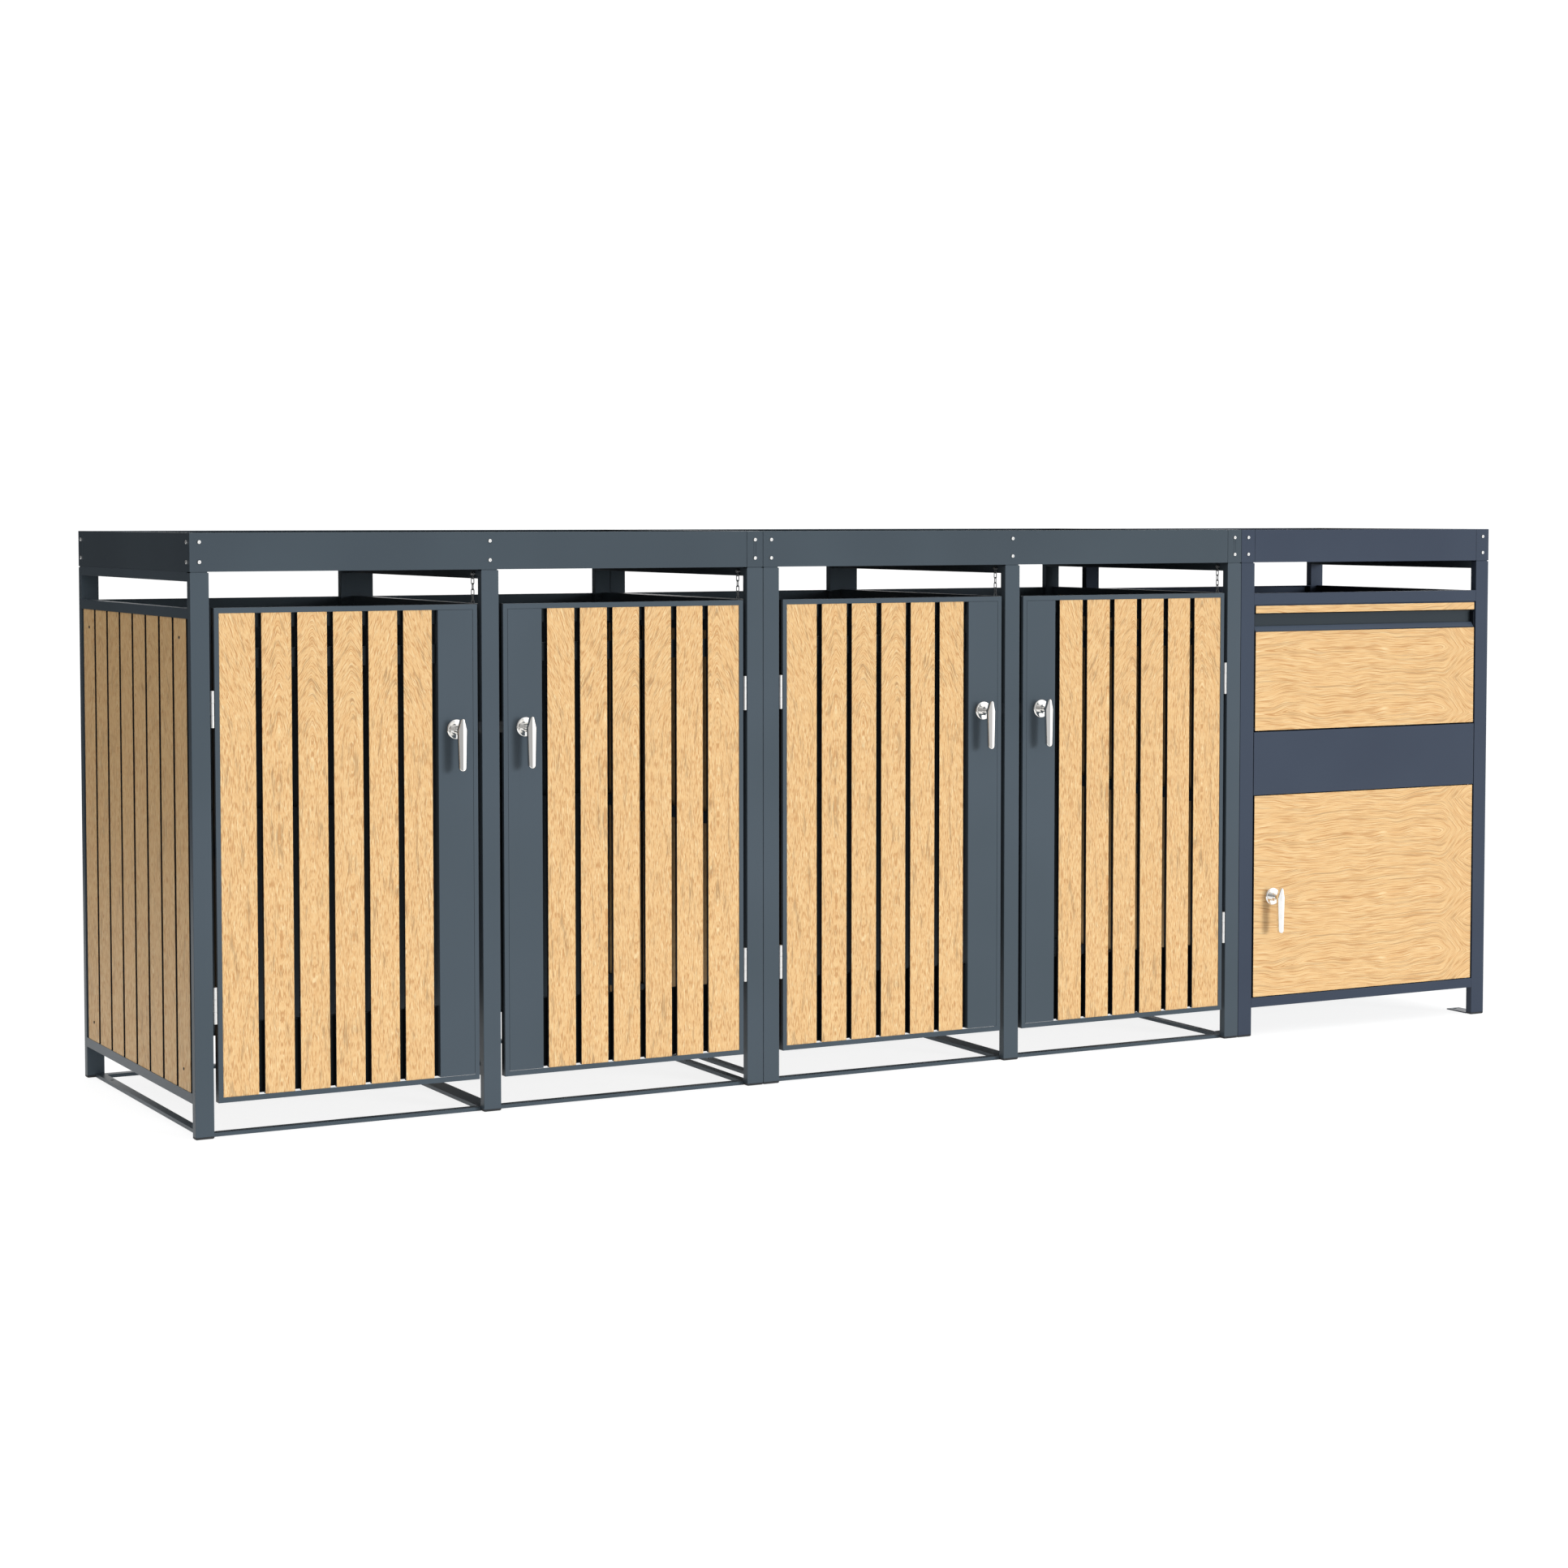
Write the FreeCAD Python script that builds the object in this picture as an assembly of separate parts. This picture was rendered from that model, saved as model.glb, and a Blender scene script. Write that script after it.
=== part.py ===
"""Bin and parcel station: two twin-bay wheelie bin enclosures and a parcel box, standing in one row.

Everything is first built in a working frame: X runs along the row from its left end, Y runs from the
front faces of the posts (Y = 0) to the back, and Z is the height above the ground. place() then moves
each piece to the row frame, whose origin is the centre of the station's footprint.
"""
import FreeCAD
import Part
import math
import os

V = FreeCAD.Vector

# ---- driving dimensions, in millimetres ----
TWIN_W = 1320.0          # one twin-bay bin unit, width
PARCEL_W = 780.0         # parcel unit, width
SEAM = 1.0               # gap between neighbouring units
DEPTH = 830.0            # bin units, front to back
PARCEL_DEPTH = 700.0     # parcel unit, front to back
HEIGHT = 1250.0          # top of the fascia

POST_W = 40.0            # posts are 40 x 20 tube, wide side to the front
POST_D = 20.0
TUBE_WALL = 1.5
SHEET = 1.5              # folded sheet steel
FASCIA_H = 80.0
FASCIA_LIP = 20.0
POST_TOP = HEIGHT - FASCIA_H - 2.0
TOP_RAIL_H = 20.0
TOP_RAIL_Z = HEIGHT - FASCIA_H - TOP_RAIL_H
TRAY_UPSTAND = 18.0
TRAY_INSET = 6.0
CAP_LEG = 40.0           # legs of the fascia corner caps
CAP_GAP = 0.8            # joint between a cap and the board beside it
SPIGOT_T = 3.0           # brackets that carry the fascia on the posts
SPIGOT_GAP = 0.5
SPIGOT_DOWN = 50.0
SPIGOT_LEG = 32.0

FOOT_H = 5.0
FOOT_CHAMFER = 2.0
FOOT_PLUG_H = 15.0
GROUND_RAIL_H = 8.0
GROUND_RAIL_W = 20.0
ANCHOR_R = 4.5
ANCHOR_FROM_ENDS = 115.0
FOOT_PLATE_L = 75.0
FOOT_PLATE_T = 3.0
FOOT_PLATE_HOLE = 65.0

BOLT_HEAD_R = 4.0
BOLT_HEAD_H = 2.5
BOLT_SHANK_R = 2.8
BOLT_HOLE_R = 3.0
BOLT_LEVELS = (1190.0, 1231.0)

# ---- walls of the bin units ----
WALL_BOTTOM = 73.0
WALL_TOP = 1095.0
SIDE_RAIL_H = 21.0
SIDE_STILE_W = 13.0
SIDE_STILE_SET = 8.0     # the stiles stand back from the outer face
SLAT_T = 10.0
SLAT_SET = 1.0           # the boards stand back from the steel around them
BATTEN_T = 6.0
BATTEN_H = 27.0
SIDE_SLATS = 8
SIDE_SLAT_GAP = 12.6
SIDE_BATTENS = (137.0, 585.0, 1034.0)
REAR_SET = 2.0
PAN_D = 17.0
DIVIDER_RAIL_W = 20.0

# ---- bin doors ----
DOOR_GAP = 10.0
DOOR_W = 580.0
DOOR_BOTTOM = 73.0
DOOR_TOP = 1096.0
DOOR_D = 20.0
BORDER = 10.0            # visible steel border round the boards
LOCK_PANEL_W = 80.0
LOCK_PANEL_D = 18.0
DOOR_SLATS = 6
EDGE_SLAT_W = 77.5       # the board beside the hinge is wider than the others
DOOR_SLAT_GAP = 13.1
DOOR_BATTENS = ((971.0, 1011.0), (1055.0, 1084.0))
KICK_PLATE_Z = (85.0, 235.0)     # closes the gaps between the boards at the foot of a door
KICK_PLATE_Y = (17.0, 18.5)
PANEL_SEAM = 0.5

# ---- bin door hinges ----
HINGE_LEVELS = (276.0, 888.0)
HINGE_H = 76.0
HINGE_R = 4.0
HINGE_PIN_R = 2.0
FIT = 0.05               # radial clearance of every turning pin
HINGE_X = DOOR_GAP / 2
HINGE_Y = 2.0
KNUCKLE_H = 25.0
KNUCKLE_GAP = 0.5
LEAF_T = 1.0
LEAF_Y = (7.0, 16.0)
TAB_Y = (4.0, 6.0)       # the strips that join the knuckles to the leaves

# ---- door handles ----
HANDLE_Z = 830.0
HANDLE_X = DOOR_GAP + DOOR_W - BORDER - LOCK_PANEL_W / 2
HANDLE_REACH = 42.0      # front of the lever in front of the posts
LEVER_T = 11.0
LEVER_UP = 24.0          # end of the lever above the spindle
LEVER_DOWN = 87.5        # end of the lever below the spindle
LEVER_HALF_MID = 9.75
LEVER_HALF_TOP = 4.5
LEVER_HALF_END = 7.5
LEVER_RIDGE = 4.5        # the front's middle ridge stands this far before its edges
LEVER_ROUND = 1.5
SPINDLE_R = 7.0
SPINDLE_TAIL_R = 5.0
ROSETTE_R = 21.5
ROSETTE_T = 5.0
ROSETTE_COLLAR_R = 11.0
ROSETTE_COLLAR_H = 14.0
PANEL_HOLE_R = 7.0
CAM_Y = (21.0, 24.0)
CAM_HALF_H = 12.0
CAM_SHORT = 2.0          # how far the cam stops short of the post
STRIKE_T = 1.0           # wear plate on the post, level with the latch
STRIKE_Y = (4.0, 19.0)
STRIKE_HALF_H = 10.0
STRIKE_ABOVE = 4.0       # middle of the plate above the spindle

# ---- lid chains ----
CHAIN_FROM_RAIL = 5.0
CHAIN_Y = 36.0
CHAIN_Z = 1160.0
CHAIN_PIN_R = 2.0
CHAIN_PIN_L = 9.0
CHAIN_EYE_R = 5.0
CHAIN_EYE_T = 3.0
LINK_WIRE_R = 1.0
LINK_BEND_R = 3.0
LINK_PITCH = 12.0
LINK_SLACK = 0.4
LINKS = 17
CLIP_WIRE_R = 1.5
CLIP_BEND_R = 5.0
CLIP_STRAIGHT = 14.0

# ---- parcel unit ----
PARCEL_GAP = 5.0
BOARD_T = 4.0            # wood-faced boards of the parcel unit
TRAY_T = 16.0
RAIL_BOTTOM = (71.0, 95.0)
DOOR_Z = (97.0, 595.0)
MID_PANEL_Z = (597.0, 752.5)
MID_PANEL_D = 15.0
HOPPER_Z = (756.0, 999.0)
GRIP_Z = (999.0, 1043.0)
GRIP_LIP_H = 14.0
GRIP_LIP_BACK = 9.0      # how far the lip leans back at its top
GRIP_D = 17.5
STRIP_Z = (1045.0, 1063.0)
STRIP_BACK_D = 18.0
RAIL_TOP = (1066.0, 1094.0)
CASE_TOP = 1094.0
HOPPER_PIVOT = (6.0, 761.0)
HOPPER_PIN_R = 2.5
HOPPER_BOSS_R = 5.0
HOPPER_CHEEK_R = 278.0
HOPPER_SHELF_DEG = 25.0
HOPPER_SHELF = (14.0, 272.0)
CHEEK_GAP = 2.5
PARCEL_PIN = (8.0, 9.0)  # door pin: in from the door's edge, back from its face
PARCEL_PIN_R = 3.0
PARCEL_PIN_L = 11.0
PARCEL_HANDLE_IN = 56.0
PARCEL_HANDLE_Z = 344.5
PARCEL_CAM = 50.0

# ---- places worked out from the dimensions above ----
TWIN_X = [unit * (TWIN_W + SEAM) for unit in range(2)]
PARCEL_X = 2 * (TWIN_W + SEAM)
TOTAL_W = PARCEL_X + PARCEL_W
MID_X = TOTAL_W / 2
MID_Y = (DEPTH + BOLT_HEAD_H - HANDLE_REACH) / 2
BAY_MID = TWIN_W / 2
INNER = (PARCEL_X + POST_W, PARCEL_X + PARCEL_W - POST_W)
FACE = (INNER[0] + PARCEL_GAP, INNER[1] - PARCEL_GAP)
NODES = {}


def place(shape):
    """Moves a shape from the working frame to the row frame."""
    moved = shape.copy()
    moved.translate(V(-MID_X, -MID_Y, 0))
    return moved


def add(name, shapes):
    """Keeps a list of separate solids as one node."""
    NODES.setdefault(name, []).extend(shapes)


def block(x, y, z):
    """A box from three (low, high) pairs."""
    size = V(x[1] - x[0], y[1] - y[0], z[1] - z[0])
    return Part.makeBox(size.x, size.y, size.z, V(x[0], y[0], z[0]))


def rod(start, along, radius, length):
    return Part.makeCylinder(radius, length, V(*start), V(*along))


def tube(x, y, z, along):
    """A box-section tube with open ends; along is 0, 1 or 2 for X, Y or Z."""
    spans = [x, y, z]
    inner = [(low + TUBE_WALL, high - TUBE_WALL) for low, high in spans]
    inner[along] = (spans[along][0] - 1, spans[along][1] + 1)
    return block(*spans).cut(block(*inner))


def outline(points_yz, x):
    """A flat plate with an outline in the Y-Z plane, between two X values."""
    corners = [V(x[0], y, z) for y, z in points_yz]
    face = Part.Face(Part.makePolygon(corners + [corners[0]]))
    return face.extrude(V(x[1] - x[0], 0, 0))


def pan(x, y, z, open_side):
    """A shallow folded sheet pan; open_side is the axis and end of its open face, such as (1, 0)."""
    spans = [x, y, z]
    inner = [(low + SHEET, high - SHEET) for low, high in spans]
    axis, end = open_side
    inner[axis] = (spans[axis][0] - 1, spans[axis][1] - SHEET) if end == 0 else (
        spans[axis][0] + SHEET, spans[axis][1] + 1)
    return block(*spans).cut(block(*inner))


def mirrored(shape):
    return shape.mirror(V(0, 0, 0), V(1, 0, 0))


def to_bay(shape, post_face, side):
    """Places a shape built for a left-hinged bay; side is 1 for left-hinged and -1 for right-hinged."""
    placed = shape.copy() if side > 0 else mirrored(shape)
    placed.translate(V(post_face, 0, 0))
    return placed


# ---- frames of the bin units ----
def post(x, y):
    return tube((x, x + POST_W), (y, y + POST_D), (FOOT_H, POST_TOP), 2)


def spigot(x, y_wall, inward, corner=0):
    """The bracket that stands in a post and carries the fascia.

    y_wall is the outer face of the fascia, inward is 1 at the front and -1 at the back, and corner is
    -1 or 1 at a post that also carries a left or right fascia.
    """
    near = y_wall + inward * (SHEET + SPIGOT_GAP)
    far = near + inward * SPIGOT_T
    y = (min(near, far), max(near, far))
    inset = TUBE_WALL + 0.5
    plate = block((x + inset, x + POST_W - inset), y, (POST_TOP - SPIGOT_DOWN, HEIGHT - 5))
    if corner:
        tip = y_wall + inward * SPIGOT_LEG
        leg_y = (min(far, tip), max(far, tip))
        x_near = x + inset if corner < 0 else x + POST_W - inset - SPIGOT_T
        leg_z = (HEIGHT - FASCIA_H + SHEET, HEIGHT - 5)
        plate = plate.fuse(block((x_near, x_near + SPIGOT_T), leg_y, leg_z))
    return plate


def foot_cap(x, y):
    flange = block((x, x + POST_W), (y, y + POST_D), (0, FOOT_H))
    rim = [edge for edge in flange.Edges if edge.BoundBox.ZMax < 0.01]
    flange = flange.makeChamfer(FOOT_CHAMFER, rim)
    inset = TUBE_WALL + 0.2
    plug_x = (x + inset, x + POST_W - inset)
    plug_y = (y + inset, y + POST_D - inset)
    return flange.fuse(block(plug_x, plug_y, (FOOT_H, FOOT_H + FOOT_PLUG_H)))


def bolt(x, y, z, outward):
    """A dome-headed bolt; outward is the direction that its head faces."""
    head = rod((x, y, z), outward, BOLT_HEAD_R, BOLT_HEAD_H)
    top = [edge for edge in head.Edges if edge.Closed and
           edge.CenterOfMass.sub(V(x, y, z)).dot(V(*outward)) > BOLT_HEAD_H / 2]
    head = head.makeFillet(1.2, top)
    shank = rod((x, y, z), [-value for value in outward], BOLT_SHANK_R, SHEET + SPIGOT_GAP + SPIGOT_T + 0.5)
    socket = rod((x + outward[0] * 1.0, y + outward[1] * 1.0, z), outward, 1.8, BOLT_HEAD_H)
    return head.fuse(shank).cut(socket)


def drilled(shape, holes):
    """Cuts round holes, each (point, direction, radius, length)."""
    for point, along, radius, length in holes:
        shape = shape.cut(rod(point, along, radius, length))
    return shape


def bolt_holes(bolts):
    """Holes that run 2 mm out of and 20 mm into the surface under each bolt head."""
    holes = []
    for x, y, z, out in bolts:
        start = (x + 2 * out[0], y + 2 * out[1], z)
        holes.append((start, [-value for value in out], BOLT_HOLE_R, 22.0))
    return holes


def fascia(x0, width, depth, caps):
    """Fascia boards and corner caps of one unit. caps names its capped corners, such as "front_right"."""
    x1 = x0 + width
    z = (HEIGHT - FASCIA_H, HEIGHT)
    lip_z = (HEIGHT - SHEET, HEIGHT)
    face_z = (z[0], lip_z[0])
    corner_x = {"left": (x0, x0 + CAP_LEG), "right": (x1 - CAP_LEG, x1)}
    ends = {end: [x0, x1] for end in ("front", "back")}
    side_y = {side: [SHEET, depth - SHEET] for side in ("left", "right")}
    lip_y = {side: [FASCIA_LIP, depth - FASCIA_LIP] for side in ("left", "right")}
    cap_solids = []
    for cap in caps:
        end, side = cap.split("_")
        y0, y1 = (0, CAP_LEG) if end == "front" else (depth - CAP_LEG, depth)
        face_y = (y0, y0 + SHEET) if end == "front" else (y1 - SHEET, y1)
        lip_end_y = (y0, y0 + FASCIA_LIP) if end == "front" else (y1 - FASCIA_LIP, y1)
        cx = corner_x[side]
        face_x = (cx[0], cx[0] + SHEET) if side == "left" else (cx[1] - SHEET, cx[1])
        lip_x = (cx[0], cx[0] + FASCIA_LIP) if side == "left" else (cx[1] - FASCIA_LIP, cx[1])
        solid = block(cx, face_y, z).fuse(block(face_x, (y0, y1), z))
        solid = solid.fuse(block(cx, lip_end_y, lip_z)).fuse(block(lip_x, (y0, y1), lip_z))
        cap_solids.append(solid.removeSplitter())
        taken = CAP_LEG + CAP_GAP
        ends[end][0 if side == "left" else 1] += taken if side == "left" else -taken
        index = 0 if end == "front" else 1
        side_y[side][index] = lip_y[side][index] = taken if end == "front" else depth - taken
    boards = []
    for end, face_y, end_lip_y in (("front", (0, SHEET), (0, FASCIA_LIP)),
                                   ("back", (depth - SHEET, depth), (depth - FASCIA_LIP, depth))):
        boards.append(block(ends[end], face_y, z).fuse(block(ends[end], end_lip_y, lip_z)))
    for side, face_x, side_lip_x in (("left", (x0, x0 + SHEET), (x0, x0 + FASCIA_LIP)),
                                     ("right", (x1 - SHEET, x1), (x1 - FASCIA_LIP, x1))):
        boards.append(block(face_x, side_y[side], face_z).fuse(block(side_lip_x, lip_y[side], lip_z)))
    return [board.removeSplitter() for board in boards], cap_solids


def roof_tray(x0, width, depth):
    """A recessed roof tray that lies on the top rails, inside the fascia."""
    x = (x0 + TRAY_INSET, x0 + width - TRAY_INSET)
    y = (TRAY_INSET, depth - TRAY_INSET)
    floor_z = (HEIGHT - FASCIA_H, HEIGHT - FASCIA_H + SHEET)
    up_z = (floor_z[1], floor_z[1] + TRAY_UPSTAND)
    return [
        block(x, y, floor_z),
        block(x, (y[0], y[0] + SHEET), up_z),
        block(x, (y[1] - SHEET, y[1]), up_z),
        block((x[0], x[0] + SHEET), (y[0] + SHEET, y[1] - SHEET), up_z),
        block((x[1] - SHEET, x[1]), (y[0] + SHEET, y[1] - SHEET), up_z),
    ]


def side_wall(x_outer, inward):
    """Frame and boards of one slatted side wall; inward is 1 for a left wall and -1 for a right one."""
    def span(near, far):
        ends = (x_outer + inward * near, x_outer + inward * far)
        return (min(ends), max(ends))

    y = (POST_D, DEPTH - POST_D)
    depth = span(0, POST_D)
    low_rail = (WALL_BOTTOM, WALL_BOTTOM + SIDE_RAIL_H)
    high_rail = (WALL_TOP - SIDE_RAIL_H, WALL_TOP)
    frame = [tube(depth, y, low_rail, 1), tube(depth, y, high_rail, 1)]
    stile = span(SIDE_STILE_SET, POST_D)
    stile_z = (low_rail[1], high_rail[0])
    frame.append(tube(stile, (y[0], y[0] + SIDE_STILE_W), stile_z, 2))
    frame.append(tube(stile, (y[1] - SIDE_STILE_W, y[1]), stile_z, 2))
    slat_y = (y[0] + SIDE_STILE_W, y[1] - SIDE_STILE_W)
    batten = span(SLAT_SET + SLAT_T, SLAT_SET + SLAT_T + BATTEN_T)
    for level in SIDE_BATTENS:
        frame.append(block(batten, slat_y, (level - BATTEN_H / 2, level + BATTEN_H / 2)))
    slat_w = (slat_y[1] - slat_y[0] - (SIDE_SLATS - 1) * SIDE_SLAT_GAP) / SIDE_SLATS
    slats = []
    for index in range(SIDE_SLATS):
        start = slat_y[0] + index * (slat_w + SIDE_SLAT_GAP)
        slats.append(block(span(SLAT_SET, SLAT_SET + SLAT_T), (start, start + slat_w), stile_z))
    return frame, slats


def rear_wall(x0, x1):
    """A rear wall pan and the stiffening rail across its inner side."""
    y = (DEPTH - REAR_SET - PAN_D, DEPTH - REAR_SET)
    sheet_pan = pan((x0, x1), y, (WALL_BOTTOM, WALL_TOP - 1), (1, 0))
    middle = (WALL_BOTTOM + WALL_TOP) / 2
    rail_y = (y[1] - SHEET - 8, y[1] - SHEET)
    rail = tube((x0 + SHEET, x1 - SHEET), rail_y, (middle - 15, middle + 15), 0)
    return [sheet_pan, rail]


def divider(x_mid):
    half = DIVIDER_RAIL_W / 2
    y = (POST_D, DEPTH - POST_D)
    low = (WALL_BOTTOM, WALL_BOTTOM + SIDE_RAIL_H)
    high = (WALL_TOP - SIDE_RAIL_H, WALL_TOP)
    rails = [tube((x_mid - half, x_mid + half), y, z, 1) for z in (low, high)]
    sheet = block((x_mid - SHEET / 2, x_mid + SHEET / 2), y, (low[1], high[0]))
    return rails + [sheet]


def ground_rails(x0):
    """Flat bars on the ground between the feet, with anchor holes in the two side bars."""
    z = (0, GROUND_RAIL_H)
    inner_y = (POST_D, DEPTH - POST_D)
    left = (x0 + POST_W - GROUND_RAIL_W, x0 + POST_W)
    right = (x0 + TWIN_W - POST_W, x0 + TWIN_W - POST_W + GROUND_RAIL_W)
    middle = (x0 + BAY_MID - GROUND_RAIL_W, x0 + BAY_MID + GROUND_RAIL_W)
    bars = []
    for x in (left, right):
        centre = (x[0] + x[1]) / 2
        holes = [((centre, y, -1), (0, 0, 1), ANCHOR_R, GROUND_RAIL_H + 2)
                 for y in (ANCHOR_FROM_ENDS, DEPTH - ANCHOR_FROM_ENDS)]
        bars.append(drilled(block(x, inner_y, z), holes))
    bars.append(block(middle, inner_y, z))
    for x in ((left[1], middle[0]), (middle[1], right[0])):
        bars.append(block(x, (inner_y[0], inner_y[0] + GROUND_RAIL_W), z))
        bars.append(block(x, (inner_y[1] - GROUND_RAIL_W, inner_y[1]), z))
    return bars


def bin_unit(x0, first, last):
    """The fixed parts of one twin-bay unit; first and last say whether its sides end the row."""
    fronts = [x0, x0 + BAY_MID - POST_W / 2, x0 + TWIN_W - POST_W]
    backs = [x0, x0 + BAY_MID - POST_W, x0 + BAY_MID, x0 + TWIN_W - POST_W]
    corners = {fronts[0]: -1, fronts[-1]: 1}
    bolts = []
    for x in fronts:
        bolts += [(x + POST_W / 2, 0, z, (0, -1, 0)) for z in BOLT_LEVELS]
    for x in backs:
        bolts += [(x + POST_W / 2, DEPTH, z, (0, 1, 0)) for z in BOLT_LEVELS]
    for present, x, out in ((first, x0, (-1, 0, 0)), (last, x0 + TWIN_W, (1, 0, 0))):
        if present:
            bolts += [(x, y, z, out) for z in BOLT_LEVELS for y in (POST_D + 1, DEPTH - POST_D - 1)]
    holes = bolt_holes(bolts)
    add("fascia_bolts", [bolt(*item) for item in bolts])
    add("front_posts", [post(x, 0) for x in fronts])
    add("front_posts", [drilled(spigot(x, 0, 1, corners.get(x, 0)), holes) for x in fronts])
    add("rear_posts", [post(x, DEPTH - POST_D) for x in backs])
    add("rear_posts", [drilled(spigot(x, DEPTH, -1, corners.get(x, 0)), holes) for x in backs])
    add("foot_caps", [foot_cap(x, 0) for x in fronts])
    add("foot_caps", [foot_cap(x, DEPTH - POST_D) for x in backs])
    boards, caps = fascia(x0, TWIN_W, DEPTH, ("front_right", "back_left"))
    add("fascia_panels", [drilled(board, holes) for board in boards])
    add("fascia_corner_caps", [drilled(cap, holes) for cap in caps])
    add("roof_trays", roof_tray(x0, TWIN_W, DEPTH))
    rail_z = (TOP_RAIL_Z, TOP_RAIL_Z + TOP_RAIL_H)
    add("top_rails", [tube((x, x + POST_W), (POST_D, DEPTH - POST_D), rail_z, 1) for x in fronts])
    for x_outer, inward in ((x0, 1), (x0 + TWIN_W, -1)):
        frame, slats = side_wall(x_outer, inward)
        add("side_wall_frames", frame)
        add("side_wall_slats", slats)
    add("rear_walls", rear_wall(backs[0] + POST_W, backs[1]) + rear_wall(backs[2] + POST_W, backs[3]))
    add("divider_walls", divider(x0 + BAY_MID))
    add("ground_rails", ground_rails(x0))


# ---- bin doors, built for a left-hinged bay with its post face at X = 0 ----
def door_frame():
    x = (DOOR_GAP, DOOR_GAP + DOOR_W)
    z = (DOOR_BOTTOM, DOOR_TOP)
    lip = (0, SHEET)
    web = (0, DOOR_D)
    stiles = [
        block((x[0], x[0] + SHEET), web, z).fuse(block((x[0], x[0] + BORDER), lip, z)),
        block((x[1] - SHEET, x[1]), web, z).fuse(block((x[1] - BORDER, x[1]), lip, z)),
    ]
    border_x = (x[0] + BORDER, x[1] - BORDER)
    web_x = (x[0] + SHEET, x[1] - SHEET)
    for edge, inner in ((z[0], 1), (z[1], -1)):
        lip_z = tuple(sorted((edge, edge + inner * (BORDER + 1))))
        web_z = tuple(sorted((edge, edge + inner * SHEET)))
        stiles.append(block(border_x, lip, lip_z).fuse(block(web_x, (SHEET, DOOR_D), web_z)))
    batten_x = (web_x[0], border_x[1] - LOCK_PANEL_W)
    batten_y = (SLAT_SET + SLAT_T, SLAT_SET + SLAT_T + BATTEN_T)
    for batten_z in DOOR_BATTENS:
        stiles.append(block(batten_x, batten_y, batten_z))
    flange_y = (batten_y[0], KICK_PLATE_Y[1])
    flange = block(batten_x, flange_y, (KICK_PLATE_Z[1], KICK_PLATE_Z[1] + SHEET))
    stiles.append(block(batten_x, KICK_PLATE_Y, KICK_PLATE_Z).fuse(flange))
    return [stile.removeSplitter() for stile in stiles]


def door_slats():
    x = DOOR_GAP + BORDER
    end = DOOR_GAP + DOOR_W - BORDER - LOCK_PANEL_W
    narrow = (end - x - EDGE_SLAT_W - DOOR_SLATS * DOOR_SLAT_GAP) / (DOOR_SLATS - 1)
    z = (DOOR_BOTTOM + BORDER + 1, DOOR_TOP - BORDER - 1)
    slats = []
    for index in range(DOOR_SLATS):
        width = narrow if index else EDGE_SLAT_W
        slats.append(block((x, x + width), (SLAT_SET, SLAT_SET + SLAT_T), z))
        x += width + DOOR_SLAT_GAP
    return slats


def lock_panel():
    end = DOOR_GAP + DOOR_W - BORDER
    x = (end - LOCK_PANEL_W, end - PANEL_SEAM)
    z = (DOOR_BOTTOM + BORDER + 1 + PANEL_SEAM, DOOR_TOP - BORDER - 1 - PANEL_SEAM)
    panel = block(x, (0, LOCK_PANEL_D), z).cut(
        block((x[0] + SHEET, x[1] - SHEET), (SHEET, LOCK_PANEL_D + 1), (z[0] - 1, z[1] + 1)))
    hole = ((HANDLE_X, -1, HANDLE_Z), (0, 1, 0), PANEL_HOLE_R, 4.0)
    return [drilled(panel, [hole])]


def hinge_half(level, at_door):
    """Leaf and knuckles of one hinge half, on the post face or on the door edge."""
    bottom = level - HINGE_H / 2
    post_knuckle = (bottom + KNUCKLE_H + KNUCKLE_GAP, KNUCKLE_H)
    door_knuckles = [(bottom, KNUCKLE_H), (bottom + HINGE_H - KNUCKLE_H, KNUCKLE_H)]
    x = (DOOR_GAP - LEAF_T, DOOR_GAP) if at_door else (0, LEAF_T)
    tab_x = (HINGE_X, DOOR_GAP) if at_door else (0, HINGE_X)
    half = block(x, LEAF_Y, (bottom, bottom + HINGE_H))
    bore = HINGE_PIN_R + (FIT if at_door else 0)
    for start, height in door_knuckles if at_door else [post_knuckle]:
        z = (start, start + height)
        half = half.fuse(block(x, (TAB_Y[0], LEAF_Y[0]), z))
        half = half.fuse(block(tab_x, TAB_Y, z))
        half = half.fuse(rod((HINGE_X, HINGE_Y, start), (0, 0, 1), HINGE_R, height))
        half = half.cut(rod((HINGE_X, HINGE_Y, start - 0.1), (0, 0, 1), bore, height + 0.2))
    return half.removeSplitter()


def hinge_pin(level):
    return rod((HINGE_X, HINGE_Y, level - HINGE_H / 2), (0, 0, 1), HINGE_PIN_R, HINGE_H)


def rosette(x, z):
    """The round cover behind a lever, with the collar that the spindle turns in."""
    plate = rod((x, 0, z), (0, -1, 0), ROSETTE_R, ROSETTE_T)
    front = [edge for edge in plate.Edges if edge.Closed and edge.CenterOfMass.y < -ROSETTE_T / 2]
    plate = plate.makeFillet(3.5, front)
    plate = plate.fuse(rod((x, 0, z), (0, -1, 0), ROSETTE_COLLAR_R, ROSETTE_COLLAR_H))
    return plate.cut(rod((x, 1, z), (0, -1, 0), SPINDLE_TAIL_R + FIT, ROSETTE_COLLAR_H + 2))


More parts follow.
